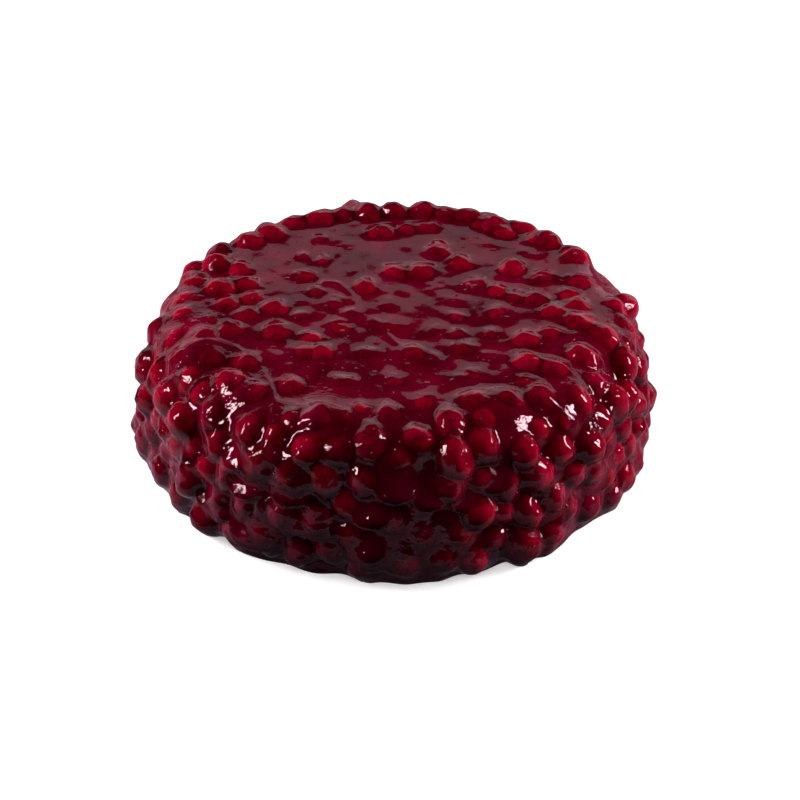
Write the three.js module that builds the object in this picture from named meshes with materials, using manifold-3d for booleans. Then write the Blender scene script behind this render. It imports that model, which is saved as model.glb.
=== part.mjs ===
// A round cream cake covered all over with glazed sour cherries.
// Millimetres, +Z up. The origin is the middle of the flat foot, and -Y is the front.
import * as THREE from "three";
import { mergeVertices } from "three/addons/utils/BufferGeometryUtils.js";
import Module from "manifold-3d";

// Driving dimensions of the whole cake.
const CAKE_DIAMETER = 275; // at the foot, where it is widest
const CAKE_HEIGHT = 81; // to the mean top of the cherries along the rim
const CHERRY_DIAMETER = 17.5;
const GLAZE_FILM = 0.7;
const GLAZE_FILL = 2.5; // how far the glaze between the cherries stands above their middles
const SHOULDER_RADIUS = 23; // of the rounded edge, at the cherries' middles
const WALL_FLARE = 7; // degrees that the wall leans outwards towards the foot
const FOOT_SETBACK = 4; // how far the foot steps in below the lowest row

// How uneven the fruit is.
const SIZE_SPREAD = 0.13; // of the diameter, either way
const DEPTH_SPREAD = 1.3; // how far a cherry stands in or out of its layer, either way
const LEAST_SHOWN = 1.8; // a cherry that rises less than this above the glaze is left under it

// How the cherries are laid: throws onto the cake, then turns of pushing neighbours apart.
const THROWS = 40000;
const THROW_GAP = 0.82; // of the two radii together
const SETTLE_TURNS = 40;
const SETTLE_GAP = 0.97;
const SETTLE_STEP = 0.35;

// The flooded middle of the top, where most cherries lie sunk in the glaze.
const POOL_RADIUS = 84;
const POOL_EDGE = 20; // over which the pool runs out towards the rim
const SINK_LEAST = 0.5;
const SINK_MOST = 8;

// Faceting.
const CHERRY_SIDES = 6;
const CORNER_GIRTH = 1.06; // how far the corners stand out, so that the flats don't thin the cherry
const CHERRY_RINGS = [44, 95]; // degrees from the outward pole
const CORE_SIDES = 32;
const SHOULDER_STEPS = 3;

// The layer that the cherries' middles lie in: a flat top, a rounded shoulder and a wall.
const glazedRadius = CHERRY_DIAMETER / 2 + GLAZE_FILM;
const layerRadius = CAKE_DIAMETER / 2 - glazedRadius;
const layerTop = CAKE_HEIGHT - glazedRadius;
const wallLean = THREE.MathUtils.degToRad(90 - WALL_FLARE);
const shoulderLength = SHOULDER_RADIUS * wallLean;
const shoulderDrop = SHOULDER_RADIUS * (1 - Math.cos(wallLean));
const wallLength = (layerTop - shoulderDrop - glazedRadius) / Math.sin(wallLean);
const flatLength =
  layerRadius - SHOULDER_RADIUS * Math.sin(wallLean) - wallLength * Math.cos(wallLean);
const layerLength = flatLength + shoulderLength + wallLength;

const wasm = await Module();
wasm.setup();

// A repeatable draw between 0 and 1 for each pair of an index and a purpose.
function draw(index, purpose) {
  const value = Math.sin(index * 12.9898 + purpose * 78.233) * 43758.5453;
  return value - Math.floor(value);
}

function smoothStep(from, to, value) {
  const t = Math.min(1, Math.max(0, (value - from) / (to - from)));
  return t * t * (3 - 2 * t);
}

// Distance from the axis, height and outward lean (0 up, 90 degrees sideways) along the layer's profile.
function layerProfile(along) {
  if (along < flatLength) return { out: along, height: layerTop, lean: 0 };
  const lean = Math.min((along - flatLength) / SHOULDER_RADIUS, wallLean);
  const down = Math.max(0, along - flatLength - shoulderLength);
  return {
    out: flatLength + SHOULDER_RADIUS * Math.sin(lean) + down * Math.cos(lean),
    height: layerTop - SHOULDER_RADIUS * (1 - Math.cos(lean)) - down * Math.sin(lean),
    lean,
  };
}

function layerPoint({ along, angle }) {
  const { out, height } = layerProfile(along);
  return new THREE.Vector3(out * Math.cos(angle), out * Math.sin(angle), height);
}

function layerNormal({ along, angle }) {
  const { lean } = layerProfile(along);
  const sideways = Math.sin(lean);
  return new THREE.Vector3(sideways * Math.cos(angle), sideways * Math.sin(angle), Math.cos(lean));
}

// Where a cherry of the lowest row stands on the foot's level.
function lowestAlong({ radius }) {
  return layerLength + (CHERRY_DIAMETER / 2 - radius) / Math.sin(wallLean);
}

// Cherries thrown evenly over the layer, each kept where it has room.
function throwCherries() {
  const kept = [];
  for (let i = 1; i <= THROWS; i++) {
    const spot = { along: layerLength * draw(i, 1), angle: 2 * Math.PI * draw(i, 2) };
    if (draw(i, 3) * layerRadius > layerProfile(spot.along).out) continue;
    spot.radius = (CHERRY_DIAMETER / 2) * (1 + SIZE_SPREAD * (2 * draw(i, 4) - 1));
    spot.point = layerPoint(spot);
    const hasRoom = kept.every(
      (other) => other.point.distanceTo(spot.point) > THROW_GAP * (other.radius + spot.radius),
    );
    if (hasRoom) kept.push({ ...spot, throwNumber: i });
  }
  return kept;
}

// Neighbours that lie too close push each other apart along the layer.
function settle(cherries) {
  for (let turn = 0; turn < SETTLE_TURNS; turn++) {
    const pushes = cherries.map((cherry) => {
      const push = new THREE.Vector3();
      for (const other of cherries) {
        if (other === cherry) continue;
        const apart = cherry.point.clone().sub(other.point);
        const lack = SETTLE_GAP * (cherry.radius + other.radius) - apart.length();
        if (lack > 0) push.addScaledVector(apart.normalize(), lack * SETTLE_STEP);
      }
      return push;
    });
    cherries.forEach((cherry, i) => {
      const { out, lean } = layerProfile(cherry.along);
      const across = new THREE.Vector3(-Math.sin(cherry.angle), Math.cos(cherry.angle), 0);
      const downhill = new THREE.Vector3(
        Math.cos(lean) * Math.cos(cherry.angle),
        Math.cos(lean) * Math.sin(cherry.angle),
        -Math.sin(lean),
      );
      cherry.angle += pushes[i].dot(across) / Math.max(out, CHERRY_DIAMETER / 2);
      const along = cherry.along + pushes[i].dot(downhill);
      cherry.along = Math.max(0, Math.min(lowestAlong(cherry), along));
      cherry.point = layerPoint(cherry);
    });
  }
  return cherries;
}

// How deep a cherry lies under its layer: sunk in the pool, or unevenly set on the shoulder and wall.
function sinkOf(cherry) {
  const pooled = 1 - smoothStep(POOL_RADIUS, POOL_RADIUS + POOL_EDGE, cherry.along);
  const sunk = SINK_LEAST + (SINK_MOST - SINK_LEAST) * draw(cherry.throwNumber, 5);
  const uneven = DEPTH_SPREAD * (2 * draw(cherry.throwNumber, 6) - 1);
  return pooled * sunk + (1 - pooled) * uneven;
}

function toSolid(geometry) {
  geometry.deleteAttribute("normal");
  geometry.deleteAttribute("uv");
  const merged = mergeVertices(geometry, 1e-3);
  return new wasm.Manifold(
    new wasm.Mesh({
      numProp: 3,
      vertProperties: merged.attributes.position.array,
      triVerts: new Uint32Array(merged.index.array),
    }),
  );
}

function toGeometry(solid) {
  const { vertProperties, triVerts } = solid.getMesh();
  const geometry = new THREE.BufferGeometry();
  geometry.setAttribute("position", new THREE.BufferAttribute(vertProperties, 3));
  geometry.setIndex(new THREE.BufferAttribute(triVerts, 1));
  geometry.computeVertexNormals();
  return geometry;
}

// A point of the glaze's profile, which runs at a constant height above the cherries' middles.
function glazePoint(along) {
  const { out, height, lean } = layerProfile(along);
  return new THREE.Vector2(out + GLAZE_FILL * Math.sin(lean), height + GLAZE_FILL * Math.cos(lean));
}

// The cake up to the glaze between the cherries, as one turned solid standing on its flat foot.
function makeCore() {
  const lowest = glazePoint(layerLength);
  const profile = [new THREE.Vector2(0, 0), new THREE.Vector2(lowest.x - FOOT_SETBACK, 0), lowest];
  for (let step = SHOULDER_STEPS; step >= 0; step--) {
    profile.push(glazePoint(flatLength + (step / SHOULDER_STEPS) * shoulderLength));
  }
  profile.push(glazePoint(0));
  return toSolid(new THREE.LatheGeometry(profile, CORE_SIDES).rotateX(Math.PI / 2));
}

// The outer part of a glazed cherry, turned about its outward pole and closed inside the core.
function makeCherry(cherry) {
  const rise = cherry.radius + GLAZE_FILM;
  const girth = cherry.radius * CORNER_GIRTH;
  const profile = [new THREE.Vector2(0, rise)];
  for (const degrees of CHERRY_RINGS) {
    const turn = THREE.MathUtils.degToRad(degrees);
    profile.push(new THREE.Vector2(girth * Math.sin(turn), rise * Math.cos(turn)));
  }
  profile.push(new THREE.Vector2(0, profile.at(-1).y));
  profile.reverse();
  const normal = layerNormal(cherry);
  const place = cherry.point.clone().addScaledVector(normal, -sinkOf(cherry));
  const spin = new THREE.Quaternion().setFromAxisAngle(
    new THREE.Vector3(0, 1, 0),
    2 * Math.PI * draw(cherry.throwNumber, 7),
  );
  const facing = new THREE.Quaternion().setFromUnitVectors(new THREE.Vector3(0, 1, 0), normal);
  const geometry = new THREE.LatheGeometry(profile, CHERRY_SIDES);
  geometry.applyQuaternion(facing.multiply(spin));
  geometry.translate(place.x, place.y, place.z);
  return toSolid(geometry);
}

function isShown(cherry) {
  return cherry.radius + GLAZE_FILM - sinkOf(cherry) - GLAZE_FILL > LEAST_SHOWN;
}

function makeCake() {
  const cherries = settle(throwCherries()).filter(isShown);
  const solid = wasm.Manifold.union([makeCore(), ...cherries.map(makeCherry)]);
  const material = new THREE.MeshStandardMaterial({ color: 0x6d0713, roughness: 0.12, metalness: 0 });
  const mesh = new THREE.Mesh(toGeometry(solid), material);
  mesh.name = "cherry_cake";
  return mesh;
}

const cake = new THREE.Group();
cake.add(makeCake());

export default cake;
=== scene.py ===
import math

import bpy
import numpy as np
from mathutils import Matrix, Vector


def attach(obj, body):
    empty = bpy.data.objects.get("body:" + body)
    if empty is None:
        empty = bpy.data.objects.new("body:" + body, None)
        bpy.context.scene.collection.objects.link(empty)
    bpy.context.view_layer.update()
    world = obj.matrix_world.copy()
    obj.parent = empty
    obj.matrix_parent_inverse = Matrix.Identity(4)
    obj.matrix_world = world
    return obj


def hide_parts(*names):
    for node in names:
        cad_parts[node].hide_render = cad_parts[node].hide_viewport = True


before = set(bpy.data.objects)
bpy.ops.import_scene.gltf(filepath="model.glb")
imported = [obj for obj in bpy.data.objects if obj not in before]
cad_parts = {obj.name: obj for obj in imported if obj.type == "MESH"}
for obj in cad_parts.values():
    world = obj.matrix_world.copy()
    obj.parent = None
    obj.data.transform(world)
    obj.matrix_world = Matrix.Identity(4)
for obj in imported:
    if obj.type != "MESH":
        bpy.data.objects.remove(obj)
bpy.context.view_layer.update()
mm = 0.001  # shapes are worked out in millimetres and put into meshes in metres
scene = bpy.context.scene
scene.view_settings.view_transform = "Standard"
print("frame loaded")

camera = {
    "elevation": 34.55,  # degrees above the table
    "distance": 1260.0,
    "lookAt": (2.8, -4.5, 22.2),
    "focalPixels": 2361.0,  # focal length in pixels of the frame
    "framePixels": 800.0,
    "sensorWidth": 36.0,
}


# The eye stands at the distance and elevation from the table point under lookAt, and aims at lookAt.
def makeCamera():
    data = bpy.data.cameras.new("camera")
    data.sensor_width = camera["sensorWidth"]
    data.lens = camera["focalPixels"] / camera["framePixels"] * camera["sensorWidth"]
    eye = bpy.data.objects.new("camera", data)
    scene.collection.objects.link(eye)
    rise = math.radians(camera["elevation"])
    aim = Vector(camera["lookAt"]) * mm
    ground = Vector((aim.x, aim.y, 0))
    eye.location = ground + camera["distance"] * mm * Vector((0, -math.cos(rise), math.sin(rise)))
    eye.rotation_euler = (aim - eye.location).to_track_quat("-Z", "Y").to_euler()
    scene.camera = eye


makeCamera()
print("camera placed")

# The layer that the cherries' middles lie in: a flat top, a rounded shoulder and a flared wall.
layer = {
    "cakeDiameter": 275.0,
    "cakeHeight": 81.0,
    "cherryDiameter": 17.5,
    "glazeFilm": 0.7,
    "shoulderRadius": 23.0,
    "wallFlare": 7.0,  # degrees
}
glazedRadius = layer["cherryDiameter"] / 2 + layer["glazeFilm"]
layerRadius = layer["cakeDiameter"] / 2 - glazedRadius
layerTop = layer["cakeHeight"] - glazedRadius
shoulder = layer["shoulderRadius"]
wallLean = math.radians(90 - layer["wallFlare"])
shoulderLength = shoulder * wallLean
shoulderDrop = shoulder * (1 - math.cos(wallLean))
wallLength = (layerTop - shoulderDrop - glazedRadius) / math.sin(wallLean)
flatLength = layerRadius - shoulder * math.sin(wallLean) - wallLength * math.cos(wallLean)
layerLength = flatLength + shoulderLength + wallLength


# Distance from the axis, height and outward lean at each length along the layer's profile:
# straight out, then round the shoulder's circle, then straight down the flared wall.
def layerProfile(along):
    lean = np.clip((along - flatLength) / shoulder, 0, wallLean)
    down = np.maximum(0, along - flatLength - shoulderLength)
    out = np.minimum(along, flatLength) + shoulder * np.sin(lean) + down * np.cos(lean)
    height = layerTop - shoulder * (1 - np.cos(lean)) - down * np.sin(lean)
    return out, height, lean


# Points of the layer at a length along its profile and an angle round the axis.
def layerPoints(along, angle):
    out, height = layerProfile(along)[:2]
    return np.stack([out * np.cos(angle), out * np.sin(angle), height + 0 * angle], -1)


# Outward normals of the layer: its lean turned round the axis.
def layerNormals(along, angle):
    lean = layerProfile(along)[2]
    side = np.sin(lean)
    return np.stack([side * np.cos(angle), side * np.sin(angle), np.cos(lean) + 0 * angle], -1)


# Distance of each point outside the layer: above the flat, off the shoulder's circle or square to
# the wall, whichever part of the profile faces the point.
def layerDistance(points):
    across = np.hypot(points[:, 0], points[:, 1]) - flatLength
    above = points[:, 2] - (layerTop - shoulder)
    turn = np.arctan2(across, above)
    bend = np.hypot(across, above) - shoulder
    wall = across * math.sin(wallLean) + above * math.cos(wallLean) - shoulder
    return np.where(across < 0, above - shoulder, np.where(turn > wallLean, wall, bend))


# Outward direction of the layer at each point, from the same three parts of the profile.
def layerDirection(points):
    out = np.maximum(np.hypot(points[:, 0], points[:, 1]), 1e-6)
    across = np.maximum(out - flatLength, 0)
    above = points[:, 2] - (layerTop - shoulder)
    lean = np.clip(np.arctan2(across, above), 0, wallLean)
    side = np.sin(lean) / out
    return np.stack([side * points[:, 0], side * points[:, 1], np.cos(lean)], -1)


# Repeatable draw between 0 and 1: the fraction left of a large sine. The purposes are a cherry's length
# along the layer (1), its angle (2), whether it lands (3), its size (4), sinking (5) and unevenness (6).
def draw(index, purpose):
    value = np.sin(index * 12.9898 + purpose * 78.233) * 43758.5453
    return value - np.floor(value)


# Smooth step from 0 to 1 between two values.
def smoothStep(start, end, value):
    t = np.clip((value - start) / (end - start), 0, 1)
    return t * t * (3 - 2 * t)


# Uneven field: a sum of plane waves in random directions, near 1 in size, with wavelengths in a range.
def waves(points, seed, shortest, longest, count, flat=False):
    pick = np.random.default_rng(seed)
    turn = pick.normal(size=(count, 3))
    turn[:, 2] *= 0 if flat else 1
    turn /= np.linalg.norm(turn, axis=1)[:, None]
    length = shortest * (longest / shortest) ** pick.random(count)
    phase = 2 * np.pi * pick.random(count)
    angle = points @ (2 * np.pi * turn / length[:, None]).T + phase
    return np.sin(angle).sum(axis=1) * (2 / count) ** 0.5


pool = {
    "middle": (10.0, 12.0),  # the flooded part of the top lies towards the back and right
    "radius": 86.0,
    "edge": 30.0,
    "wander": 5.0,  # how far its shore wanders in and out
    "shoreDrop": (14.0, 5.0),  # below the layer's top, where it ends and where it is full
    "level": 5.3,  # of the glaze above the cherries' middles
    "ripple": 0.05,
    "dryRipple": 0.4,  # share of it that is left outside the pool
    "streaks": 0.06,  # short waves, strongest towards the front
    "streakLeast": 0.6,
    "streakFront": (-10.0, -70.0),
    # uneven fields: seed, shortest and longest wave, and how many
    "shoreWaves": (20, 30, 90, 12),
    "rippleWaves": (21, 24, 70, 40),
    "streakWaves": (26, 9, 18, 40),
    # where its skin is folded: width and height of the ridge and the points that it runs through
    "folds": (
        (
            (1.7, 1.0),
            (
                (-101, -39), (-95, -37), (-88, -36), (-80, -38), (-73, -45),
                (-66, -58), (-61, -72), (-58, -85), (-57, -95),
            ),
        ),
        (
            (1.6, 0.7),
            ((-43, 15), (-40, 20), (-37, 25), (-32, 25), (-29, 23), (-25, 17), (-22, 10), (-20, 0)),
        ),
        ((1.6, 0.6), ((-10, -12), (-7, -20), (-4, -27), (4, -39))),
    ),
    "foldDrop": (22.0, 12.0),  # below the layer's top, where the folds run out
}

coat = {
    "rimLevel": 3.6,  # of the glaze between the cherries, above their middles
    "rimDrop": (20.0, 2.0),  # below the layer's top, over which it rises to that
    "rimFront": 0.9,  # how much higher it stands along the front of the rim
    "rimFrontFrom": (-50.0, -105.0),
    "wallLevel": 0.9,
    "wallFlow": 0.6,  # how much higher where it has run down most
    "flowLeast": 0.2,
    "flowAcross": (40.0, -5.0),  # from right to left
    "flowForward": (60.0, 0.0),
    "drape": 1.4,  # how much it thickens and thins on the wall
    "drapeMost": 1.3,
    "drapeWaves": (27, 28, 84, 20),
    "frontFill": 1.0,  # how much higher it stands low on the front of the wall
    "frontDrape": 0.8,
    "frontHeight": (46.0, 30.0),
    "frontFrom": (-60.0, -100.0),
    "footLevel": -0.5,
    "footHeight": 9.0,
    "footUneven": 0.5,
    "footWaves": (22, 14, 60, 28),
    # where it lies thick over the rim: x, y, reach and depth
    "swells": (
        (-75.0, -71.0, 11.0, 3.6),
        (-96.0, -40.0, 9.0, 2.4),
        (100.0, -22.0, 12.0, 2.6),
        (-128.0, -25.0, 46.0, 1.8),
        (128.0, -5.0, 40.0, 0.9),
    ),
    "lobes": 60,  # where it has run down and hangs in a lip
    "lobeSeed": 31,
    "lobeHeight": (4.0, 48.0),
    "lobeWidth": (8.0, 14.0),
    "lobeReach": (14.0, 26.0),
    "lobeDepth": (1.5, 4.0),
    "lobeRound": 0.6,  # depth of a lip's curve, of half its width
    "lobeBlunt": 0.4,  # how steeply its sides fall away, less being steeper
    "lipEdge": 1.0,  # half the height over which it ends
    # the largest lips along the front: degrees round, height of the lip and half its width
    "lips": (
        (-127.5, 46.7, 8.3), (-116.6, 55.2, 9.8), (-123.6, 34.4, 8.8),
        (-112.7, 36.7, 11.2), (-131, 14.7, 7.3), (-121, 7.1, 13.2),
        (-107.1, 20.9, 17.1), (-95.5, 32.2, 12.2), (-95.9, 13.3, 10.7),
        (-89.8, 45.2, 10.5), (-82.4, 40.6, 9.5), (-73.7, 36.2, 9.8),
        (-66.8, 42, 10),
    ),
    "lipDepth": 7.2,
    "lipReach": 12.0,
}


# How much the glaze has run down: most over the front left of the wall, and little elsewhere.
def flow(points):
    most = smoothStep(*coat["flowAcross"], points[:, 0]) * smoothStep(*coat["flowForward"], points[:, 1])
    return coat["flowLeast"] + (1 - coat["flowLeast"]) * most


# 1 in the pool and 0 outside it: a smooth step across its wandering shore, and none on the wall.
def wetness(points):
    out = np.hypot(points[:, 0] - pool["middle"][0], points[:, 1] - pool["middle"][1])
    out += pool["wander"] * waves(points, *pool["shoreWaves"])
    wet = 1 - smoothStep(pool["radius"], pool["radius"] + pool["edge"], out)
    ends, full = pool["shoreDrop"]
    return wet * smoothStep(layerTop - ends, layerTop - full, points[:, 2])


# Lobes of glaze on the wall: each swells slowly downwards over its reach and ends in a sharp round lip,
# half an ellipse across; where lobes overlap, the thickest counts.
def lobes(points):
    pick = np.random.default_rng(coat["lobeSeed"])
    many = coat["lobes"]
    turn = 2 * np.pi * pick.random(many)
    height, width, reach, depth = (
        low + (high - low) * pick.random(many)
        for low, high in (coat["lobeHeight"], coat["lobeWidth"], coat["lobeReach"], coat["lobeDepth"])
    )
    lips = np.array(coat["lips"])
    turn = np.append(turn, np.radians(lips[:, 0]))
    height, width = np.append(height, lips[:, 1]), np.append(width, lips[:, 2])
    reach = np.append(reach, np.full(len(lips), coat["lipReach"]))
    depth = np.append(depth, np.full(len(lips), coat["lipDepth"]))
    height += coat["lobeRound"] * width
    aside = np.arctan2(points[:, 1], points[:, 0])[:, None] - turn
    aside = layerRadius * (np.mod(aside + np.pi, 2 * np.pi) - np.pi)
    below = height - points[:, 2][:, None]
    across = np.sqrt(np.maximum(0, 1 - (aside / width) ** 2))
    end = coat["lobeRound"] * width * across
    lip = smoothStep(end - coat["lipEdge"], end + coat["lipEdge"], below)
    swell = smoothStep(-reach, end, below) * (1 - lip)
    return (depth * across ** coat["lobeBlunt"] * swell).max(axis=1)


cherryLay = {
    "sizeSpread": 0.13,
    "depthSpread": 1.3,
    "throws": 40000,
    "throwGap": 0.82,  # of two radii together
    "settleTurns": 40,
    "settleGap": 0.97,
    "settleStep": 0.35,
    "rimAlong": 104.0,  # where the rim's cherries begin along the layer
    "dryAlong": (97.0, 109.0),  # over which they rise out of the pool
    "sinkLeast": 4.6,
    "sinkMost": 8.0,
    "wallUneven": 0.9,  # how much more unevenly the wall's cherries are set
    "fillThrows": 16000,  # later throws that fill the gaps left on shoulder and wall
    "fillGap": 0.66,
    "fillSize": 0.86,
    "fillSink": 0.8,
    "frontSink": 1.6,  # how much deeper those along the front of the rim lie
    "frontDrop": (16.0, 6.0),  # below the layer's top, over which they do
    "frontFrom": (-60.0, -95.0),
    "lipSink": 3.2,  # and how much deeper those under the largest lips
    "bareSize": 0.95,  # of the glazed size
    "closeGap": 0.95,  # after the gaps are filled
    "sag": 0.45,  # how much further the glaze reaches above a cherry on the wall, of its radius
    "sagLeast": 0.5,  # of that, with a draw between 0 and 1 added
    "sagLess": 0.4,  # share of it that is missing high on the wall
    "sagHeight": (28.0, 46.0),
    "hang": 1.2,  # how much thicker it hangs below
    "coatSpread": 0.7,  # how much thicker or thinner a cherry is coated than another
    "stretch": 0.15,  # of each radius along the cherry's own axes, either way
    "shapeSeed": 11,
}

# Cherries whose places are known.
placed = {
    # standing out of the pool: x, y, width and height of what shows
    "raised": (
        (17, 84, 10, 2.2), (6, 82, 8, 1.8), (-5, 79, 8, 1.8), (48, 89, 11, 2.5), (60, 79, 9, 2),
        (78, 71, 15, 2.8), (24, 59, 14, 2.8), (37, 46, 12, 2.7), (13, 37, 14, 2.8), (42, 25, 11, 2.5),
        (62, 39, 14, 2.8), (77, 31, 10, 2.2), (97, 54, 13, 2.7), (97, 27, 17, 2.8), (53, 17, 8, 1.8),
        (63, 12, 9, 1.8), (73, 8, 9, 1.8), (53, -4, 9, 2), (82, -4, 14, 2.8), (91, 11, 8, 1.8),
        (94, 2, 10, 2.2), (95, -11, 14, 2.8), (-2, 3, 8, 1.2), (32, -8, 5, 0.9), (32, -26, 5, 0.9),
        (48, -24, 7, 1), (67, -30, 16, 2.5), (79, -26, 9, 1.8), (33, -39, 13, 0.9), (66, -51, 14, 2.5),
        (80, -55, 12, 2.5), (93, -42, 18, 2.8), (-1, -16, 12, 0.8), (19, -21, 13, 0.9),
        (-67, 79, 12, 2.7), (-42, 102, 13, 2.8), (-19, 104, 11, 2.5), (-41, 71, 4, 1), (-49, 53, 5, 1),
        (-39, 48, 4, 1), (-47, 33, 7, 1.1), (-41, 16, 5, 1), (-16, 21, 10, 2.1), (-31, 6, 13, 1.4),
        (-22, -5, 6, 1), (-8, 77, 9, 2), (0, 37, 11, 2), (-82, 40, 10, 2.5), (-78, 23, 10, 2.4),
        (-74, 11, 12, 2.7), (-87, 3, 10, 2.5), (-62, 0, 11, 2.4), (-76, -7, 10, 2.4), (-49, -8, 6, 1.2),
        (-83, -21, 15, 2.8), (-60, -23, 14, 2.2), (-43, -28, 10, 1.8), (-28, -18, 14, 1.8),
        (-44, -41, 9, 2.1), (-36, -43, 9, 2.1), (-51, -68, 15, 1.4), (-24, -70, 17, 1.1),
        (9, -43, 12, 0.9), (21, -48, 11, 0.9), (37, -64, 12, 1.2), (0, -67, 10, 1), (-12, -43, 10, 0.9),
    ),
    "raisedRadius": 0.75,  # of the width that shows
    "raisedLeast": 3.5,
    "raisedMost": 9.0,
    # along the front of the rim and then its back: degrees round, length along the layer, radius,
    # depth under the layer and ripeness
    "rim": (
        (-126, 118.6, 8.3, 0.3, 0.6), (-119.2, 118.2, 6.8, 0.6, 0.4), (-110.8, 105.8, 9, -1.2, 1.1),
        (-110.4, 119.3, 8, -0.3, 0.15), (-103.7, 100.5, 6.8, 1.2, 0.6), (-91.8, 95.2, 6.8, 0.6, 0.7),
        (-80.2, 87.6, 8, 3, 0.1), (-74.7, 105.7, 8.5, 1.2, 0.5), (-64.9, 92.8, 7.8, 0.8, 0.5),
        (-95.6, 113.9, 9, 0.4, 0.8), (-102.9, 116.5, 8, 1.4, 0.9), (-84.3, 111.6, 8.2, 0.2, 0.5),
        (-88.7, 119.8, 7.2, 0.8, 0.3), (-76, 122, 9.3, -0.8, 0.1), (-121.6, 133.6, 9, 1, 0.9),
        (-112.8, 133.7, 9.3, 1.4, 1.1), (-105.5, 132.2, 7.8, 1.4, 0.3), (-96.6, 131.4, 9.3, 1.4, 1),
        (-69.3, 117.4, 8.2, 0, 0.2), (-78, 134.2, 8.2, 1.2, 0.6), (-66.3, 106.4, 7.6, 0.8, 0.4),
        (-99.7, 92.8, 6.5, 1.6, 0.3), (-116.8, 108.5, 6.5, 1.4, 0.5), (137.9, 104.6, 8, -0.4, 0.5),
        (130.3, 103.8, 8.3, -0.4, 0.3), (121.7, 105.7, 8.3, -0.3, 0.6), (114.2, 102.1, 8.8, -0.5, 0.4),
        (106, 102.2, 8, -0.4, 0.7), (98.9, 100.1, 8, -0.6, 0.5), (90.3, 101.3, 8.6, -0.5, 0.6),
        (81.8, 101.6, 8.4, -0.5, 0.4), (74.4, 102.9, 8, -0.6, 0.6), (67.5, 103.9, 8.2, -0.4, 0.7),
        (58.3, 102.6, 8.4, -0.5, 0.5), (51.4, 109.2, 8.8, -0.4, 0.3), (41.1, 106.7, 8.4, -0.5, 0.6),
        (30.7, 111.3, 8.6, -0.5, 0.4),
    ),
    "clearGap": 0.8,  # of two radii together, nearer than which a cherry laid before makes way
    "number": 100000,  # stands for the throw of the first
}


# Cherries thrown evenly over the layer, each kept where it has room among those kept before.
def throwCherries(kept, first, count, gap, least):
    index = np.arange(first, first + count)
    along = layerLength * draw(index, 1)
    angle = 2 * np.pi * draw(index, 2)
    radius = layer["cherryDiameter"] / 2 * (1 + cherryLay["sizeSpread"] * (2 * draw(index, 4) - 1))
    points = layerPoints(along, angle)
    landed = (draw(index, 3) * layerRadius <= layerProfile(along)[0]) & (along >= least)
    for i in np.flatnonzero(landed):
        apart = np.linalg.norm(kept["point"] - points[i], axis=1)
        if np.all(apart > gap * (kept["radius"] + radius[i])):
            kept["along"] = np.append(kept["along"], along[i])
            kept["angle"] = np.append(kept["angle"], angle[i])
            kept["radius"] = np.append(kept["radius"], radius[i])
            kept["throw"] = np.append(kept["throw"], index[i])
            kept["point"] = np.vstack([kept["point"], points[i]])
    return kept


# Neighbours that lie too close push each other apart along the layer, all at once each turn.
def settle(kept, gap):
    lowest = layerLength + (layer["cherryDiameter"] / 2 - kept["radius"]) / math.sin(wallLean)
    reach = gap * (kept["radius"][:, None] + kept["radius"])
    for turn in range(cherryLay["settleTurns"]):
        apart = kept["point"][:, None] - kept["point"]
        length = np.linalg.norm(apart, axis=2) + np.eye(len(reach)) * 1e9  # none is near itself
        lack = np.maximum(reach - length, 0) * cherryLay["settleStep"] / length
        push = (apart * lack[:, :, None]).sum(axis=1)
        out, _, lean = layerProfile(kept["along"])
        cosine, sine = np.cos(kept["angle"]), np.sin(kept["angle"])
        across = -sine * push[:, 0] + cosine * push[:, 1]
        downhill = np.cos(lean) * (cosine * push[:, 0] + sine * push[:, 1]) - np.sin(lean) * push[:, 2]
        kept["angle"] = kept["angle"] + across / np.maximum(out, layer["cherryDiameter"] / 2)
        kept["along"] = np.clip(kept["along"] + downhill, 0, lowest)
        kept["point"] = layerPoints(kept["along"], kept["angle"])
    return kept


# How deep a cherry lies under its layer: sunk in the pool, unevenly set elsewhere, deeper in a gap.
def sinkOf(kept):
    pooled = wetness(kept["point"]) * (1 - smoothStep(*cherryLay["dryAlong"], kept["along"]))
    spread = cherryLay["sinkMost"] - cherryLay["sinkLeast"]
    sunk = cherryLay["sinkLeast"] + spread * draw(kept["throw"], 5)
    uneven = cherryLay["depthSpread"] * (2 * draw(kept["throw"], 6) - 1)
    uneven *= 1 + cherryLay["wallUneven"] * np.sin(layerProfile(kept["along"])[2])
    late = np.where(kept["throw"] > cherryLay["throws"], cherryLay["fillSink"], 0)
    below, above = cherryLay["frontDrop"]
    high = smoothStep(layerTop - below, layerTop - above, kept["point"][:, 2])
    late = late + cherryLay["frontSink"] * high * smoothStep(*cherryLay["frontFrom"], kept["point"][:, 1])
    late += cherryLay["lipSink"] * lobes(kept["point"]) / coat["lipDepth"]
    return pooled * sunk + (1 - pooled) * (uneven + late)


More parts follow.
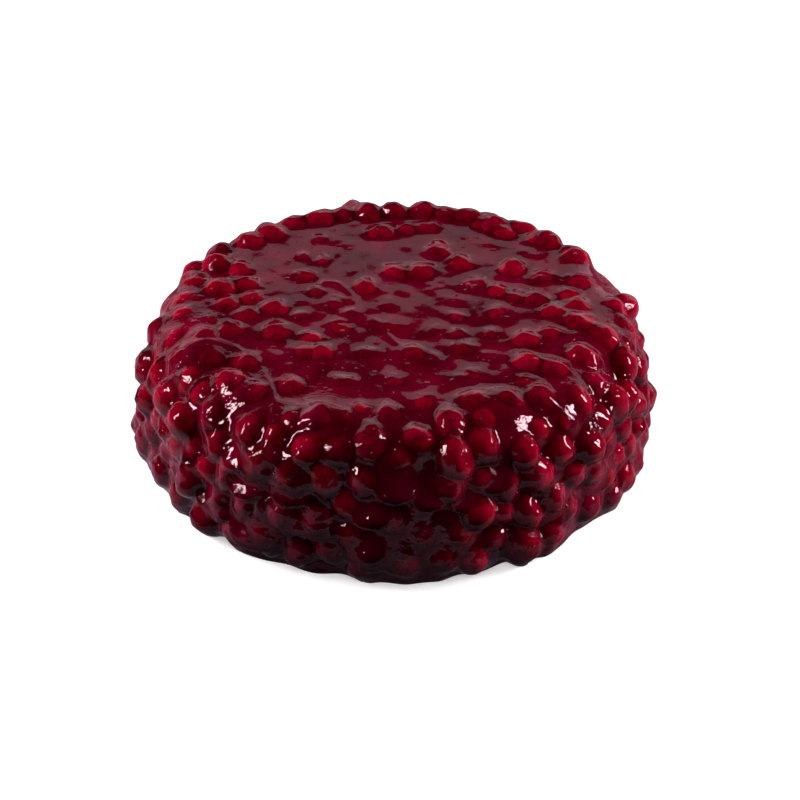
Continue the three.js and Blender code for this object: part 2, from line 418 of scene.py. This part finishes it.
# The cherries whose places are known make those laid near them give way. A raised one's radius is a
# share of its width, and it is set so that it stands out of the pool by its height.
def placeCherries(kept):
    x, y, width, height = np.array(placed["raised"], float).T
    turn, along, radius, depth = np.array(placed["rim"]).T[:4]
    out = np.hypot(x, y)
    bend = np.arcsin(np.clip((out - flatLength) / shoulder, 0, 1))
    standing = np.clip(placed["raisedRadius"] * width, placed["raisedLeast"], placed["raisedMost"])
    more = {
        "along": np.append(np.minimum(out, flatLength) + shoulder * bend, along),
        "angle": np.append(np.arctan2(y, x), np.radians(turn)),
        "radius": np.append(standing, radius),
        "throw": placed["number"] + np.arange(len(x) + len(turn)),
    }
    more["point"] = layerPoints(more["along"], more["angle"])
    apart = np.linalg.norm(kept["point"][:, None] - more["point"], axis=2)
    clear = np.all(apart > placed["clearGap"] * (kept["radius"][:, None] + more["radius"]), axis=1)
    kept = {key: np.concatenate([kept[key][clear], more[key]]) for key in more}
    sink = sinkOf(kept)
    raised = standing + layer["glazeFilm"] - pool["level"] - height
    sink[-len(more["along"]) :] = np.append(raised, depth)
    return kept, sink


noCherries = {
    "along": np.empty(0),
    "angle": np.empty(0),
    "radius": np.empty(0),
    "throw": np.empty(0, int),
    "point": np.empty((0, 3)),
}
lay = throwCherries(noCherries, 1, cherryLay["throws"], cherryLay["throwGap"], 0)
lay = settle(lay, cherryLay["settleGap"])
lay = throwCherries(
    lay,
    cherryLay["throws"] + 1,
    cherryLay["fillThrows"],
    cherryLay["fillGap"],
    cherryLay["rimAlong"],
)
late = lay["throw"] > cherryLay["throws"]
lay["radius"] = np.where(late, cherryLay["fillSize"], cherryLay["bareSize"]) * lay["radius"]
lay, sink = placeCherries(settle(lay, cherryLay["closeGap"]))
facing = layerNormals(lay["along"], lay["angle"])
lean = layerProfile(lay["along"])[2]
outward = np.stack([np.cos(lay["angle"]), np.sin(lay["angle"]), 0 * lean], -1)
downhill = np.cos(lean)[:, None] * outward
downhill[:, 2] = -np.sin(lean)
middle = lay["point"] - facing * sink[:, None]
shapeDraw = np.random.default_rng(cherryLay["shapeSeed"])
ownAxes = np.linalg.qr(shapeDraw.normal(size=(len(middle), 3, 3)))[0]
ownAxes *= np.sign(np.linalg.det(ownAxes))[:, None, None]
stretch = 1 + cherryLay["stretch"] * (2 * shapeDraw.random((len(middle), 3)) - 1)
sag = cherryLay["sag"] * np.sin(lean) ** 2 * (cherryLay["sagLeast"] + shapeDraw.random(len(middle)))
sagLess = cherryLay["sagLess"] * smoothStep(*cherryLay["sagHeight"], lay["point"][:, 2])
sag *= flow(lay["point"]) * (1 - sagLess)
hang = cherryLay["hang"] * np.sin(lean) ** 2 * flow(lay["point"])
coatMore = cherryLay["coatSpread"] * np.sin(lean) * (2 * shapeDraw.random(len(middle)) - 1)
print("cherries laid:", len(lay["along"]))


# A mesh object from arrays of points in millimetres and of faces, smooth and standing at the origin.
def putMesh(name, points, quads, triangles=None):
    faces = quads.tolist() + ([] if triangles is None else triangles.tolist())
    data = bpy.data.meshes.new(name)
    data.from_pydata((points * mm).tolist(), [], faces)
    data.polygons.foreach_set("use_smooth", np.ones(len(faces), bool))
    data.update()
    piece = bpy.data.objects.new(name, data)
    scene.collection.objects.link(piece)
    return piece


# A float attribute on the mesh's points.
def putAttribute(piece, name, values):
    attribute = piece.data.attributes.new(name, "FLOAT", "POINT")
    attribute.data.foreach_set("value", np.ascontiguousarray(values, np.float32))


# Quads of a grid of rows by columns whose columns close into a ring, first vertex at start.
def ringQuads(rows, columns, start=0):
    row, column = np.meshgrid(np.arange(rows - 1), np.arange(columns), indexing="ij")
    after = (column + 1) % columns
    corners = [row * columns + column, (row + 1) * columns + column]
    corners += [(row + 1) * columns + after, row * columns + after]
    return np.stack(corners, -1).reshape(-1, 4) + start


# Height of the folds in the glaze's skin: a bell over the distance from the nearest of a fold's straight
# lengths.
def folds(points):
    total = np.zeros(len(points))
    for (width, height), path in pool["folds"]:
        path = np.array(path, float)
        start, run = path[:-1], np.diff(path, axis=0)
        away = points[:, None, :2] - start
        share = np.clip((away * run).sum(axis=2) / (run**2).sum(axis=1), 0, 1)
        apart = np.linalg.norm(away - share[:, :, None] * run, axis=2).min(axis=1)
        total += height * np.exp(-((apart / width) ** 2))
    ends, full = pool["foldDrop"]
    return total * smoothStep(layerTop - ends, layerTop - full, points[:, 2])


# How high the glaze stands above the layer between the cherries: a rippled pool on top, high round the
# rim, low on the wall but for its lobes, and running out a little at the foot.
def fillLevel(points):
    wet = wetness(points)
    ripple = pool["ripple"] * waves(points, *pool["rippleWaves"], flat=True)
    front = smoothStep(*pool["streakFront"], points[:, 1])
    streaks = pool["streaks"] * (pool["streakLeast"] + (1 - pool["streakLeast"]) * front)
    ripple += streaks * waves(points, *pool["streakWaves"], flat=True)
    foot = 1 - smoothStep(0, coat["footHeight"], points[:, 2])
    foot *= 1 + coat["footUneven"] * waves(points, *coat["footWaves"])
    below, above = coat["rimDrop"]
    rim = smoothStep(layerTop - below, layerTop - above, points[:, 2])
    ahead = coat["rimFront"] * smoothStep(*coat["rimFrontFrom"], points[:, 1])
    wall = coat["wallLevel"] + (coat["rimLevel"] + ahead - coat["wallLevel"]) * rim
    low = smoothStep(*coat["frontHeight"], points[:, 2]) * smoothStep(*coat["frontFrom"], points[:, 1])
    drape = np.clip(waves(points, *coat["drapeWaves"]), -coat["drapeMost"], coat["drapeMost"])
    wall += (coat["drape"] + coat["frontDrape"] * low) * drape + coat["frontFill"] * low
    wall += (coat["wallFlow"] * (flow(points) - coat["flowLeast"]) + lobes(points)) * (1 - rim)
    for x, y, reach, depth in coat["swells"]:
        wall += depth * np.exp(-((np.hypot(points[:, 0] - x, points[:, 1] - y) / reach) ** 2))
    level = wall + (pool["level"] - wall) * wet + folds(points)
    ripple *= pool["dryRipple"] + (1 - pool["dryRipple"]) * wet
    return level + ripple + (coat["footLevel"] - coat["wallLevel"]) * foot


# A square grid bent onto a unit disc: the larger coordinate is the radius, and the ratio of the two
# times an eighth of a turn is the angle inside its sector.
def discGrid(cells):
    side = np.linspace(-1, 1, cells + 1)
    u, v = np.meshgrid(side, side, indexing="ij")
    wide = np.abs(u) >= np.abs(v)
    radius = np.where(wide, u, v)
    ratio = np.where(wide, v, u) / np.where(radius == 0, 1, radius)
    angle = np.where(wide, np.pi / 4 * ratio, np.pi / 2 - np.pi / 4 * ratio)
    return np.abs(radius).ravel(), (angle + np.pi * (radius < 0)).ravel()


# The whole layer as one grid: a disc on the flat top, then rings down the shoulder and the wall to the
# foot, and a flat fan under it. Gives the points' place on the layer and the faces.
def layerGrid(cells, rows):
    columns = 4 * cells
    radius, discAngle = discGrid(cells)
    end = layerLength + glazedRadius / math.sin(wallLean)
    ringAlong = np.linspace(flatLength, end, rows + 1)[1:]
    ringAngle = -np.pi / 4 + 2 * np.pi * np.arange(columns) / columns
    along = np.concatenate([radius * flatLength, np.repeat(ringAlong, columns)])
    angle = np.concatenate([discAngle, np.tile(ringAngle, rows)])
    number = np.arange((cells + 1) ** 2).reshape(cells + 1, cells + 1)
    rim = np.concatenate([number[-1, :-1], number[:0:-1, -1], number[0, :0:-1], number[:-1, 0]])
    disc = np.stack([number[:-1, :-1], number[1:, :-1], number[1:, 1:], number[:-1, 1:]], -1)
    ring = np.arange(columns)
    after = (ring + 1) % columns
    start = number.size
    seam = np.stack([rim, start + ring, start + after, rim[after]], -1)
    quads = np.vstack([disc.reshape(-1, 4), seam, ringQuads(rows, columns, start)])
    last = len(along) - columns
    fan = np.stack([last + ring, np.full_like(ring, len(along)), last + after], -1)
    return along, angle, quads, fan, last


bed = {
    "cells": 64,
    "rows": 34,
    "depth": 3.0,  # under the glaze between the cherries
    "poolDepth": 2.5,
    "unevenness": 0.7,
    "waves": (3, 10, 40, 28),
    "foot": 0.4,  # its underside stands this high
    "paintedShade": 0.8,  # how much darker painted shade makes it and the fruit low on the front left of the wall
    "paintedShadeHeight": (8.0, 50.0),
}


# How much darker bed and fruit are painted, as painted shade: more where the glaze has run down most, and
# more the lower.
def paintedShade(points):
    return bed["paintedShade"] * flow(points) * (1 - smoothStep(*bed["paintedShadeHeight"], points[:, 2]))


# The jelly bed that the cherries lie in: the layer's grid raised to just under the glaze, with low waves.
def makeBed():
    along, angle, quads, fan, last = layerGrid(bed["cells"], bed["rows"])
    points = layerPoints(along, angle)
    depth = bed["depth"] + (bed["poolDepth"] - bed["depth"]) * wetness(points)
    lift = fillLevel(points) - depth + bed["unevenness"] * waves(points, *bed["waves"])
    points += layerNormals(along, angle) * lift[:, None]
    points[:, 2] = np.maximum(points[:, 2], bed["foot"])
    points[last:, 2] = bed["foot"]
    points = np.vstack([points, [[0, 0, bed["foot"]]]])
    piece = putMesh("jelly_bed", points, quads, fan)
    # the bed's tone attribute holds only the painted shade
    putAttribute(piece, "ripeness_and_shade", paintedShade(points))
    return piece


jellyBed = makeBed()
print("jelly bed made")

cherryShape = {
    "sides": 14,
    "rings": 9,
    "pitDepth": 0.24,
    "pitWidth": 0.42,  # radians from the stalk end
    "lumps": 0.035,
    "lumpTurns": 2.2,  # how quickly the lumps follow each other over a cherry
    "lumpPhase": 6.28,  # radians over which they are shifted
    "share": 0.94,  # of the radius, the rest being glaze
    "seed": 11,
    "highRaised": 1.6,  # a raised cherry that stands higher than this is drawn brighter
    "highToneScale": 0.6,
    "lowToneShift": 0.35,  # how much darker the lower ones are drawn
}


# Every cherry as one grid of rings by sides: a ball with a soft pit where the stalk was and low lumps,
# stretched along its own axes and set at its middle.
def makeCherries():
    many = len(lay["along"])
    sides, rings = cherryShape["sides"], cherryShape["rings"]
    turn = np.linspace(0, np.pi, rings + 2)[1:-1][:, None]
    angle = np.linspace(0, 2 * np.pi, sides, endpoint=False)[None, :]
    out, height = np.sin(turn), np.cos(turn) + 0 * angle
    ball = np.stack([out * np.cos(angle), out * np.sin(angle), height], -1).reshape(-1, 3)
    ball = np.vstack([ball, [[0, 0, 1], [0, 0, -1]]])
    pick = np.random.default_rng(cherryShape["seed"])
    fromStalk = np.arccos(np.clip(ball[:, 2], -1, 1))
    pit = cherryShape["pitDepth"] * np.exp(-((fromStalk / cherryShape["pitWidth"]) ** 2))
    wave = pick.normal(size=(many, 3)) * cherryShape["lumpTurns"]
    phase = cherryShape["lumpPhase"] * pick.random(many)
    lump = np.sin(ball @ wave.T + phase).T * cherryShape["lumps"]
    size = (1 - pit)[None, :] * (1 - cherryShape["lumps"] + lump)
    inner = cherryShape["share"] * lay["radius"][:, None] * stretch
    shape = ball[None] * size[:, :, None] * inner[:, None, :]
    points = np.einsum("nij,nvj->nvi", ownAxes, shape) + middle[:, None, :]
    quads = ringQuads(rings, sides)
    ring = np.arange(sides)
    after = (ring + 1) % sides
    last = (rings - 1) * sides
    caps = [np.stack([np.full_like(ring, rings * sides), ring, after], -1)]
    caps.append(np.stack([last + ring, np.full_like(ring, rings * sides + 1), last + after], -1))
    step = (np.arange(many) * len(ball))[:, None, None]
    quads = (quads[None] + step).reshape(-1, 4)
    caps = (np.vstack(caps)[None] + step).reshape(-1, 3)
    piece = putMesh("cherries", points.reshape(-1, 3), quads, caps)
    ripeness_and_shade = pick.random(many)
    raised, rim = np.array(placed["raised"]), np.array(placed["rim"])
    high = raised[:, 3] > cherryShape["highRaised"]
    drawn = ripeness_and_shade[-len(rim) - len(raised) : -len(rim)]
    drawn[:] = np.where(high, drawn * cherryShape["highToneScale"], drawn + cherryShape["lowToneShift"])
    ripeness_and_shade[-len(rim) :] = rim[:, 4]
    # ripeness, with painted shade added low on the front left
    putAttribute(piece, "ripeness_and_shade", np.repeat(ripeness_and_shade + paintedShade(middle), len(ball)))
    return piece


cherries = makeCherries()
print("cherries made:", len(cherries.data.polygons), "faces")

glaze = {
    "cells": 168,  # across the flat top
    "rows": 90,  # down shoulder and wall
    "film": 0.8,  # over a cherry
    "filmUneven": 0.5,
    "filmWaves": (23, 9, 34, 20),
    "dimples": 0.2,
    "dimpleWaves": (25, 4, 9, 40),
    "blend": 1.4,  # how widely neighbours run together
    "blendSpread": 0.4,
    "blendWaves": (24, 25, 70, 12),
    "blendMost": 1.2,
    "poolBlend": 1.1,
    "flowBlend": 0.7,  # how near to that it comes where it has run down the wall
    "flowDrop": 12.0,  # below the layer's top, where that begins
    "neighbours": 9,
    "slices": 12,
    "startHeight": 16.0,  # above the layer, from where the surface is sought
    "seekTurns": 14,
    "seekStep": 0.95,
    "relaxTurns": 5,
    "relaxStep": 0.6,
    "relaxMost": 1.5,
    "foot": 0.15,  # its lowest edge stands this high
    "poolDryness": 0.07,  # how much of the surface's relief is left in the pool
}


# Distance outside the glaze and its outward direction: minus the log of the summed exponentials of the
# distances to the nearest coated cherries and to the filled layer, so that they run together.
def glazeDistance(points, near, level, film, blend):
    away = points[:, None, :] - middle[near]
    below = (away * downhill[near]).sum(axis=2)
    shrink = np.where(below < 0, sag[near] / (1 + sag[near]), 0)
    away -= (below * shrink)[:, :, None] * downhill[near]
    away = np.einsum("nkji,nkj->nki", ownAxes[near], away) / stretch[near]
    length = np.linalg.norm(away, axis=2)
    drop = hang[near] * np.clip(below / length, 0, 1)
    thick = (lay["radius"] + coatMore)[near] + film[:, None] + drop
    apart = np.concatenate([length - thick, (layerDistance(points) - level)[:, None]], 1)
    least = apart.min(axis=1, keepdims=True)
    share = np.exp((least - apart) / blend[:, None])
    total = share.sum(axis=1, keepdims=True)
    share /= total
    distance = least[:, 0] - blend * np.log(total[:, 0])
    away *= (share[:, :-1] / length)[:, :, None] / stretch[near]
    away = np.einsum("nkij,nkj->nki", ownAxes[near], away)
    away -= ((away * downhill[near]).sum(axis=2) * shrink)[:, :, None] * downhill[near]
    direction = away.sum(axis=1)
    direction += layerDirection(points) * share[:, -1:]
    direction /= np.linalg.norm(direction, axis=1)[:, None]
    return distance, direction


# The cherries nearest to each point, found in slices.
def nearestCherries(points):
    found = []
    for part in np.array_split(points, glaze["slices"]):
        apart = ((part[:, None, :] - middle[None]) ** 2).sum(axis=2)
        found.append(np.argpartition(apart, glaze["neighbours"], axis=1)[:, : glaze["neighbours"]])
    return np.vstack(found)


# The glaze: each point of the layer's grid moved in along the layer's normal until it meets the glaze,
# then evened out over the surface and set back on it.
def makeGlaze():
    along, angle, quads, fan, last = layerGrid(glaze["cells"], glaze["rows"])
    base, normal = layerPoints(along, angle), layerNormals(along, angle)
    near = nearestCherries(base)
    level = fillLevel(base)
    film = glaze["film"] + glaze["filmUneven"] * waves(base, *glaze["filmWaves"])
    film += glaze["dimples"] * waves(base, *glaze["dimpleWaves"])
    spread = np.clip(waves(base, *glaze["blendWaves"]), -glaze["blendMost"], glaze["blendMost"])
    blend = glaze["blend"] + glaze["blendSpread"] * spread
    wet = wetness(base)
    low = base[:, 2] < layerTop - glaze["flowDrop"]
    run = glaze["flowBlend"] * (flow(base) - coat["flowLeast"]) * low
    blend += (glaze["poolBlend"] - blend) * np.maximum(wet, run)
    height = np.full(len(base), glaze["startHeight"])
    for turn in range(glaze["seekTurns"]):
        points = base + normal * height[:, None]
        height -= glaze["seekStep"] * glazeDistance(points, near, level, film, blend)[0]
    points = base + normal * height[:, None]
    edges = np.vstack([quads[:, [0, 1]], quads[:, [1, 2]], quads[:, [2, 3]], quads[:, [3, 0]]])
    ends = np.concatenate([edges[:, 0], edges[:, 1]])
    others = np.concatenate([edges[:, 1], edges[:, 0]])
    meets = np.bincount(ends, minlength=len(points))[:, None]
    for turn in range(glaze["relaxTurns"]):
        sums = [np.bincount(ends, points[others, axis], len(points)) for axis in range(3)]
        slide = np.stack(sums, -1) / meets - points
        direction = glazeDistance(points, near, level, film, blend)[1]
        slide -= direction * (slide * direction).sum(axis=1)[:, None]
        slide[last:] = 0
        points = points + glaze["relaxStep"] * slide
        distance, direction = glazeDistance(points, near, level, film, blend)
        points -= direction * np.clip(distance, -glaze["relaxMost"], glaze["relaxMost"])[:, None]
    points[:, 2] = np.maximum(points[:, 2], glaze["foot"])
    points[last:, 2] = 0
    piece = putMesh("glaze", np.vstack([points, [[0, 0, 0]]]), quads, fan)
    putAttribute(piece, "dryness", np.append(1 - (1 - glaze["poolDryness"]) * wet, 1))
    return piece


glazeCoat = makeGlaze()
print("glaze made:", len(glazeCoat.data.polygons), "faces")


# A material with its node tree emptied down to an output.
def newMaterial(name):
    material = bpy.data.materials.new(name)
    material.use_nodes = True
    tree = material.node_tree
    tree.nodes.clear()
    return material, tree, tree.nodes.new("ShaderNodeOutputMaterial")


# A shader node of a kind with its settings. Each socket named is linked where it is given another
# node's output, and holds the value otherwise.
def putNode(tree, kind, sockets=(), **settings):
    node = tree.nodes.new("ShaderNode" + kind)
    for name, value in settings.items():
        setattr(node, name, value)
    for socket, value in dict(sockets).items():
        if isinstance(value, bpy.types.NodeSocket):
            tree.links.new(value, node.inputs[socket])
        else:
            node.inputs[socket].default_value = value
    return node


# Two values put together by an operation, with a third where it takes one.
def putMath(tree, operation, *values):
    return putNode(tree, "Math", enumerate(values), operation=operation).outputs[0]


# A value carried from one range to another, straight or by a smooth step.
def putRange(tree, value, fromMin, fromMax, toMin, toMax, bend="LINEAR"):
    sockets = {"Value": value, "From Min": fromMin, "From Max": fromMax, "To Min": toMin, "To Max": toMax}
    return putNode(tree, "MapRange", sockets, interpolation_type=bend).outputs["Result"]


# The colour between a first and a last colour, each with its place on a scale.
def putRamp(tree, value, stops):
    node = putNode(tree, "ValToRGB", {"Fac": value})
    for element, (position, colour) in zip(node.color_ramp.elements, stops):
        element.position, element.color = position, colour
    return node.outputs["Color"]


glazeLook = {
    "roughness": 0.02,
    "ior": 1.42,
    "depthColour": (0.62, 0.02, 0.15, 1),  # what its depth lets through
    "density": 220.0,
    "entering": (0.3, 0.2, 0.2, 1),  # share of the light that comes in through its surface
    "cloudColour": (0.5, 0.003, 0.045, 1),
    "cloud": (0.015, 0.17),  # how cloudy it is where it faces the eye and at its edges
    "cloudEdge": 0.25,  # how wide those are
    "cloudRoughness": 0.6,
    "reliefStrength": 0.8,
    "reliefDepth": 0.0002,  # metres
    # scale and detail of its ripples, of its wrinkles and of the places that are wrinkled
    "noises": ((260.0, 2.0), (520.0, 1.0), (70.0, 2.0)),
    "wrinkled": (0.44, 0.62, 0.0, 2.2),  # range of those places, and the heights that it is carried to
    # pimples and specks: scale, how far edge and top lie from a mark's middle, then the range of a draw
    # for each mark and the heights that it is carried to
    "marks": (
        (90.0, 0.15, 0.03, (0.0, 1.0, 2.5, 2.5)),
        (260.0, 0.18, 0.02, (0.35, 0.9, 0.0, 5.0)),
    ),
}


# Height of the glaze's fine relief: ripples with wrinkles in places, both fading out in the pool, and
# round pimples and specks everywhere.
def glazeRelief(tree):
    place = putNode(tree, "TexCoord").outputs["Object"]
    ripple, wrinkle, places = (
        putNode(tree, "TexNoise", {"Vector": place, "Scale": scale, "Detail": detail}).outputs["Fac"]
        for scale, detail in glazeLook["noises"]
    )
    wrinkled = putRange(tree, places, *glazeLook["wrinkled"])
    rough = putMath(tree, "MULTIPLY_ADD", wrinkle, wrinkled, ripple)
    dryness = putNode(tree, "Attribute", attribute_name="dryness").outputs["Fac"]
    relief = putMath(tree, "MULTIPLY", rough, dryness)
    for scale, edge, top, heights in glazeLook["marks"]:
        marks = putNode(tree, "TexVoronoi", {"Vector": place, "Scale": scale})
        height = putRange(tree, marks.outputs["Color"], *heights)
        mark = putRange(tree, marks.outputs["Distance"], edge, top, 0, height, "SMOOTHSTEP")
        relief = putMath(tree, "ADD", relief, mark)
    return relief


# Glaze: clear red jelly. Lamps and light from the cherries pass straight through its surface, and
# what is seen through it is bent and reddened by its depth.
def glazeMaterial():
    material, tree, output = newMaterial("clear_red_glaze")
    bump = putNode(
        tree,
        "Bump",
        {
            "Strength": glazeLook["reliefStrength"],
            "Distance": glazeLook["reliefDepth"],
            "Height": glazeRelief(tree),
        },
    )
    jelly = putNode(
        tree,
        "BsdfPrincipled",
        {
            "Base Color": (1, 1, 1, 1),
            "Roughness": glazeLook["roughness"],
            "IOR": glazeLook["ior"],
            "Transmission Weight": 1,
            "Normal": bump.outputs["Normal"],
        },
    )
    body = putNode(
        tree,
        "BsdfPrincipled",
        {
            "Base Color": glazeLook["cloudColour"],
            "Roughness": glazeLook["cloudRoughness"],
            "Specular IOR Level": 0,
        },
    )
    edge = putNode(tree, "LayerWeight", {"Blend": glazeLook["cloudEdge"]}).outputs["Facing"]
    cloud = putRange(tree, edge, 0, 1, *glazeLook["cloud"])
    cloudy = putNode(
        tree, "MixShader", {"Fac": cloud, 1: jelly.outputs["BSDF"], 2: body.outputs["BSDF"]}
    )
    back = putNode(tree, "NewGeometry").outputs["Backfacing"]
    # sockets 6 and 7 of a mix are its two colours
    colour = putNode(tree, "Mix", {0: back, 6: glazeLook["entering"], 7: (1, 1, 1, 1)}, data_type="RGBA")
    clear = putNode(tree, "BsdfTransparent", {"Color": colour.outputs[2]})
    path = putNode(tree, "LightPath")
    passing = putMath(tree, "MAXIMUM", path.outputs["Is Shadow Ray"], path.outputs["Is Diffuse Ray"])
    surface = putNode(
        tree, "MixShader", {"Fac": passing, 1: cloudy.outputs["Shader"], 2: clear.outputs["BSDF"]}
    )
    depth = putNode(
        tree, "VolumeAbsorption", {"Color": glazeLook["depthColour"], "Density": glazeLook["density"]}
    )
    tree.links.new(surface.outputs["Shader"], output.inputs["Surface"])
    tree.links.new(depth.outputs["Volume"], output.inputs["Volume"])
    return material


cherryLook = {
    # colours with their places on the scale of tones
    "stops": ((0.35, (0.305, 0.0009, 0.022, 1)), (1.0, (0.1, 0.0005, 0.0105, 1))),
    "ripeningAndShade": 0.52,  # how much ripeness and painted shade add to the tone
    "noise": {"Scale": 200.0, "Detail": 6.0, "Roughness": 0.6, "Distortion": 0.8},
    "mottle": (0.3, 0.7, 0.12, 0.84),  # range of the noise, and the tones that it is carried to
    "roughness": 0.7,
}
bedLook = {
    "stops": ((0.36, (0.072, 0.0006, 0.012, 1)), (0.66, (0.16, 0.0015, 0.027, 1))),
    # how much the painted shade lowers the bed's tone
    "ripeningAndShade": -0.3,
    "noise": {"Scale": 45.0, "Detail": 3.0},
    "mottle": (0.0, 1.0, 0.0, 1.0),
    "roughness": 0.7,
}


# Cherry skins and jelly bed: a colour between two by ripeness with painted shade and by a mottling noise,
# with no shine.
def fruitMaterial(name, look):
    material, tree, output = newMaterial(name)
    place = putNode(tree, "TexCoord").outputs["Object"]
    noise = putNode(tree, "TexNoise", {"Vector": place, **look["noise"]}).outputs["Fac"]
    mottle = putRange(tree, noise, *look["mottle"])
    ripeness_and_shade = putNode(tree, "Attribute", attribute_name="ripeness_and_shade").outputs["Fac"]
    tone = putMath(tree, "MULTIPLY_ADD", ripeness_and_shade, look["ripeningAndShade"], mottle)
    colour = putRamp(tree, tone, look["stops"])
    sockets = {"Base Color": colour, "Roughness": look["roughness"], "Specular IOR Level": 0}
    skin = putNode(tree, "BsdfPrincipled", sockets)
    tree.links.new(skin.outputs["BSDF"], output.inputs["Surface"])
    return material


glazeCoat.data.materials.append(glazeMaterial())
cherries.data.materials.append(fruitMaterial("cooked_cherry", cherryLook))
jellyBed.data.materials.append(fruitMaterial("crimson_jelly", bedLook))
for piece in (glazeCoat, cherries, jellyBed):
    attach(piece, "root")
    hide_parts("cherry_cake")
print("materials on")

studio = {
    "floorSize": 12.0,  # metres
    "floorDrop": 0.2,  # millimetres under the foot
    "floorColour": (0.88, 0.936, 0.846, 1),  # grey under the lamps' colour
    "floorLight": 0.42,
    "floorRoughness": 0.9,
    "lampColour": (1.0, 0.94, 1.04),
    "stripColour": (1.0, 0.6, 0.7),
    "glowColour": (1.0, 0.8, 1.04, 1),
    "frontGlow": 0.45,  # how bright the floor looks in the glaze, before the cake and beside it
    "leftGlow": 0.22,
    "rightGlow": 0.11,
    "glowOnFruit": 0.35,  # how much of it lights the cherries
    "worldStrength": 0.004,
    # glow by the floor's distance from the cake's middle in metres: before the cake it grows and then
    # fades out, and beside the cake it fades
    "glowGrows": (0.14, 0.26, 0.3, 1.0),
    "glowFades": (0.38, 0.29),
    "sideGlowFades": (0.2, 0.6, 2.2, 0.5),
    "aheadTo": (-0.92, -0.5),  # how far round the glow before the cake reaches
    # as seen from the cake: degrees round from straight behind it, degrees up, distance, width,
    # height and radiance
    "sheets": {
        "back_low": (0, 5.0, 2.0, 6.0, 0.28, 0.55),
        "back_middle": (0, 14.0, 2.0, 6.0, 0.35, 0.46),
        "back_sheet": (0, 25.8, 2.0, 6.0, 0.49, 0.4),
        "back_upper": (0, 33.2, 2.0, 6.0, 0.03, 0.2),
    },
    # lamps that are too soft to show in the glaze
    "fills": {
        "left_fill": (-80, 20, 1.3, 0.55, 0.9, 17.5),
        "right_fill": (82, 13, 1.3, 0.55, 0.9, 22),
        "front_fill": (180, 56, 1.5, 1.4, 0.9, 1.4),
    },
    # tall lamps that are seen in the glaze
    "strips": {
        "left_strip": (-106, 36, 1.3, 0.19, 0.7, 30),
        "right_strip": (91, 29, 1.3, 0.2, 0.6, 30),
    },
}


# An area lamp that faces the cake from a bearing and an elevation; its power is four times its area
# times its radiance.
def makeSheet(name, bearing, up, distance, width, height, radiance):
    data = bpy.data.lights.new(name, "AREA")
    data.shape = "RECTANGLE"
    data.size, data.size_y = width, height
    data.energy = 4 * width * height * radiance
    data.color = studio["lampColour"]
    lamp = bpy.data.objects.new(name, data)
    scene.collection.objects.link(lamp)
    bearing, up = math.radians(bearing), math.radians(up)
    toLamp = Vector((math.sin(bearing) * math.cos(up), math.cos(bearing) * math.cos(up), math.sin(up)))
    turn = (-toLamp).to_track_quat("-Z", "Y")
    lamp.location = toLamp * distance
    lamp.rotation_euler = turn.to_euler()
    return lamp


# Floor paint, which glows where it is seen in the glaze or lights the fruit: before the cake a band a
# hand's breadth away, and beside it a glow from left to right.
def floorMaterial():
    material, tree, output = newMaterial("pale_floor")
    paint = putNode(
        tree,
        "BsdfPrincipled",
        {
            "Base Color": studio["floorColour"],
            "Roughness": studio["floorRoughness"],
            "Emission Color": (1, 1, 1, 1),
            "Emission Strength": studio["floorLight"],
        },
    )
    place = putNode(tree, "TexCoord").outputs["Object"]
    bearing = putNode(tree, "VectorMath", {0: place}, operation="NORMALIZE").outputs["Vector"]
    toward = putNode(tree, "SeparateXYZ", {"Vector": bearing}).outputs
    away = putNode(tree, "VectorMath", {0: place}, operation="LENGTH").outputs["Value"]
    grows = putRange(tree, away, *studio["glowGrows"])
    fades = putRange(tree, away, *studio["glowFades"], 0, studio["frontGlow"])
    ahead = putMath(tree, "MULTIPLY", grows, fades)
    sides = putRange(tree, toward["X"], -1, 1, studio["leftGlow"], studio["rightGlow"])
    around = putMath(tree, "MULTIPLY", sides, putRange(tree, away, *studio["sideGlowFades"]))
    beside = putRange(tree, toward["Y"], *studio["aheadTo"], 0, 1, "SMOOTHSTEP")
    bright = putNode(tree, "Mix", {"Factor": beside, "A": ahead, "B": around}).outputs["Result"]
    path = putNode(tree, "LightPath").outputs
    onFruit = putRange(tree, path["Is Diffuse Ray"], 0, 1, 1, studio["glowOnFruit"])
    shown = putMath(tree, "MULTIPLY", bright, onFruit)
    glow = putNode(tree, "Emission", {"Color": studio["glowColour"], "Strength": shown})
    fromCake = putMath(tree, "MAXIMUM", path["Is Glossy Ray"], path["Is Diffuse Ray"])
    mix = putNode(
        tree, "MixShader", {"Fac": fromCake, 1: paint.outputs["BSDF"], 2: glow.outputs["Emission"]}
    )
    tree.links.new(mix.outputs["Shader"], output.inputs["Surface"])
    material.cycles.emission_sampling = "NONE"
    return material


# Floor, lamps and a dim even surround.
def makeStudio():
    half, drop = studio["floorSize"] / 2 / mm, studio["floorDrop"]
    across, forward = half * np.array([[-1, 1, 1, -1], [-1, -1, 1, 1]])
    corners = np.stack([across, forward, np.full(4, -drop)], -1)
    floor = putMesh("floor", corners, np.array([[0, 1, 2, 3]]))
    floor.data.materials.append(floorMaterial())
    for name, values in studio["sheets"].items():
        makeSheet(name, *values)
    for name, values in studio["fills"].items():
        lamp = makeSheet(name, *values)
        lamp.visible_glossy = False
        lamp.visible_transmission = False
    for name, values in studio["strips"].items():
        lamp = makeSheet(name, *values)
        lamp.data.color = studio["stripColour"]
        lamp.visible_diffuse = False
    world = bpy.data.worlds.new("studio")
    scene.world = world
    world.use_nodes = True
    background = world.node_tree.nodes["Background"]
    background.inputs["Strength"].default_value = studio["worldStrength"]
    background.inputs["Color"].default_value = (1, 1, 1, 1)


makeStudio()
print("studio lit")
